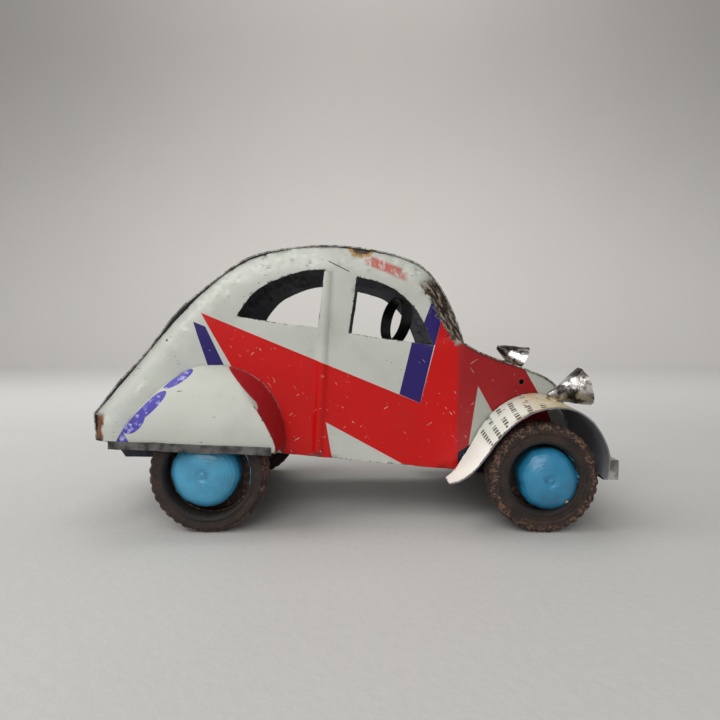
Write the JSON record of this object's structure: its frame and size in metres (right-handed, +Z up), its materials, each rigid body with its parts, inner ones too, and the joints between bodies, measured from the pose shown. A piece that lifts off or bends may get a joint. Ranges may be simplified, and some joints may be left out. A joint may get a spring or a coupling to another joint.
{
  "type": "push-along tin toy car",
  "caption": "Rounded vintage toy car cut and soldered from printed tin sheet, rolling on two wire axles with rubber tyres.",
  "frame": {"origin": "on the ground, at the middle of the car's length and width", "axes": "+X forward, +Y to the car's left, +Z up"},
  "size_m": [0.1501, 0.077, 0.0805],
  "materials": {
    "tyre_rubber": "worn dark brown rubber",
    "blue_paint": "hand-brushed gloss light blue",
    "dark_tin": "dark grimy tin, unpainted inside of can",
    "steel_wire": "dull steel wire",
    "bare_tin": "grey, tarnished",
    "bumper_tin": "pale, chipped and dirty",
    "lamp_metal": "bright crumpled tin with rust",
    "solder": "silver solder with yellow flux",
    "black_tin": "black, satin",
    "printed_tin_fender": null,
    "printed_tin_skirt": "off-white with blue patches and a dark red edge",
    "printed_tin_side": "red, off-white and dark blue printed shapes, scratched",
    "pale_tin": "off-white, chipped at its edges"
  },
  "bodies": {
    "car_body": {"dash_panel": "dark_tin", "floor_pan": "dark_tin", "front_axle_tube": "dark_tin", "front_bumper": "bumper_tin", "front_fender_left": "printed_tin_fender", "front_fender_right": "printed_tin_fender", "headlamp_cone_left": "lamp_metal", "headlamp_cone_right": "lamp_metal", "headlamp_disc_left": "lamp_metal", "headlamp_disc_right": "lamp_metal", "headlamp_solder_right": "solder", "headlamp_stem_left": "steel_wire", "hood_strip": "pale_tin", "nose_panel": "pale_tin", "rear_axle_tray": "dark_tin", "rear_axle_tube": "dark_tin", "rear_fender_left": "printed_tin_skirt", "rear_fender_right": "printed_tin_skirt", "rear_fender_trim_left": "bare_tin", "rear_fender_trim_right": "bare_tin", "roof_strip": "pale_tin", "side_panel_left": "printed_tin_side", "side_panel_right": "printed_tin_side", "steering_column": "steel_wire", "steering_wheel": "black_tin"},
    "front_axle": {"front_axle_wire": "steel_wire", "front_hub_cap_left": "blue_paint", "front_hub_cap_right": "blue_paint", "front_tyre_left": "tyre_rubber", "front_tyre_right": "tyre_rubber", "front_wheel_dish_left": "dark_tin", "front_wheel_dish_right": "dark_tin"},
    "rear_axle": {"rear_axle_wire": "steel_wire", "rear_hub_cap_left": "blue_paint", "rear_hub_cap_right": "blue_paint", "rear_tyre_left": "tyre_rubber", "rear_tyre_right": "tyre_rubber", "rear_wheel_dish_left": "dark_tin", "rear_wheel_dish_right": "dark_tin"}
  },
  "joints": [
    {"name": "front_axle_spin", "type": "hinge", "parent": "car_body", "child": "front_axle", "pos_m": [0.0542, 0, 0.015], "axis": [0, 1, 0], "continuous": true},
    {"name": "rear_axle_spin", "type": "hinge", "parent": "car_body", "child": "rear_axle", "pos_m": [-0.0373, 0, 0.016], "axis": [0, 1, 0], "continuous": true}
  ]
}
